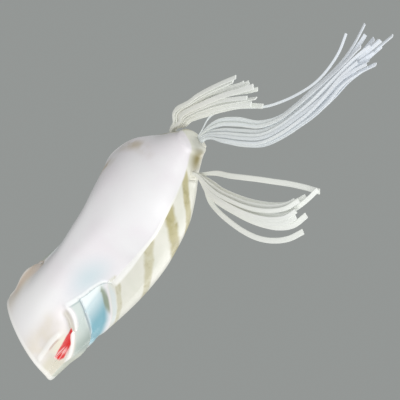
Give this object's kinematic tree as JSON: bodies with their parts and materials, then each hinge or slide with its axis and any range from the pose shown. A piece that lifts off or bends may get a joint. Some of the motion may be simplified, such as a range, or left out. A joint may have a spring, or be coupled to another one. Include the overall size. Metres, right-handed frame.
{
  "type": "topwater popper",
  "caption": "Hollow soft topwater popper with a cupped mouth, a double hook that lifts out of the back, and swinging silicone strand skirts at the rear.",
  "frame": {"origin": "middle of the flat on the belly that the popper rests on", "axes": "+X towards the mouth, +Y towards the left side, +Z towards the back"},
  "size_m": [0.1246, 0.0524, 0.0228],
  "materials": {
    "pearl_plastisol": "pearl white soft moulding with painted gills and bars",
    "hook_steel": "plated hook wire",
    "ballast_metal": "cast keel weight",
    "sleeve_plastic": "extruded tube",
    "grommet_rubber": "moulded ring",
    "eye_lens": "domed glossy eye",
    "leg_silicone": "ivory silicone strip",
    "tail_silicone": "bluish white silicone strip",
    "skirt_root": "moulded skirt root"
  },
  "bodies": {
    "hull": {"body_shell": "pearl_plastisol", "nose_grommet": "grommet_rubber", "ballast_weight": "ballast_metal", "left_eye": "eye_lens", "right_eye": "eye_lens"},
    "hook": {"double_hook": "hook_steel", "shank_sleeve": "sleeve_plastic"},
    "left_leg": {"left_leg_bead": "skirt_root", "left_leg_strand_01": "leg_silicone", "left_leg_strand_02": "leg_silicone", "left_leg_strand_03": "leg_silicone", "left_leg_strand_04": "leg_silicone", "left_leg_strand_05": "leg_silicone", "left_leg_strand_06": "leg_silicone", "left_leg_strand_07": "leg_silicone", "left_leg_strand_08": "leg_silicone", "left_leg_strand_09": "leg_silicone", "left_leg_strand_10": "leg_silicone"},
    "right_leg": {"right_leg_bead": "skirt_root", "right_leg_strand_01": "leg_silicone", "right_leg_strand_02": "leg_silicone", "right_leg_strand_03": "leg_silicone", "right_leg_strand_04": "leg_silicone", "right_leg_strand_05": "leg_silicone", "right_leg_strand_06": "leg_silicone", "right_leg_strand_07": "leg_silicone", "right_leg_strand_08": "leg_silicone", "right_leg_strand_09": "leg_silicone", "right_leg_strand_10": "leg_silicone"},
    "tail": {"tail_bead": "skirt_root", "tail_strand_01": "tail_silicone", "tail_strand_02": "tail_silicone", "tail_strand_03": "tail_silicone", "tail_strand_04": "tail_silicone", "tail_strand_05": "tail_silicone", "tail_strand_06": "tail_silicone", "tail_strand_07": "tail_silicone", "tail_strand_08": "tail_silicone", "tail_strand_09": "tail_silicone", "tail_strand_10": "tail_silicone", "tail_strand_11": "tail_silicone", "tail_strand_12": "tail_silicone", "tail_strand_13": "tail_silicone", "tail_strand_14": "tail_silicone", "tail_strand_15": "tail_silicone", "tail_strand_16": "tail_silicone", "tail_strand_17": "tail_silicone", "tail_strand_18": "tail_silicone", "tail_strand_19": "tail_silicone", "tail_strand_20": "tail_silicone", "tail_strand_21": "tail_silicone", "tail_strand_22": "tail_silicone", "tail_strand_23": "tail_silicone"}
  },
  "joints": [
    {"name": "hook_lift", "type": "hinge", "parent": "hull", "child": "hook", "pos_m": [0.03275, 0, 0.0087], "axis": [0, 1, 0], "range_deg": [0, 6]},
    {"name": "left_leg_swing", "type": "hinge", "parent": "hull", "child": "left_leg", "pos_m": [-0.02282, 0.00514, 0.0102], "axis": [0, 0, 1], "range_deg": [-25, 5], "stiffness_Nm_per_rad": 0.0001},
    {"name": "right_leg_swing", "type": "hinge", "parent": "hull", "child": "right_leg", "pos_m": [-0.02282, -0.00514, 0.0102], "axis": [0, 0, 1], "range_deg": [-10, 25], "stiffness_Nm_per_rad": 0.0001},
    {"name": "tail_swing", "type": "hinge", "parent": "hull", "child": "tail", "pos_m": [-0.0274, 0, 0.0122], "axis": [0, 0, 1], "range_deg": [-20, 20], "stiffness_Nm_per_rad": 0.0002}
  ]
}
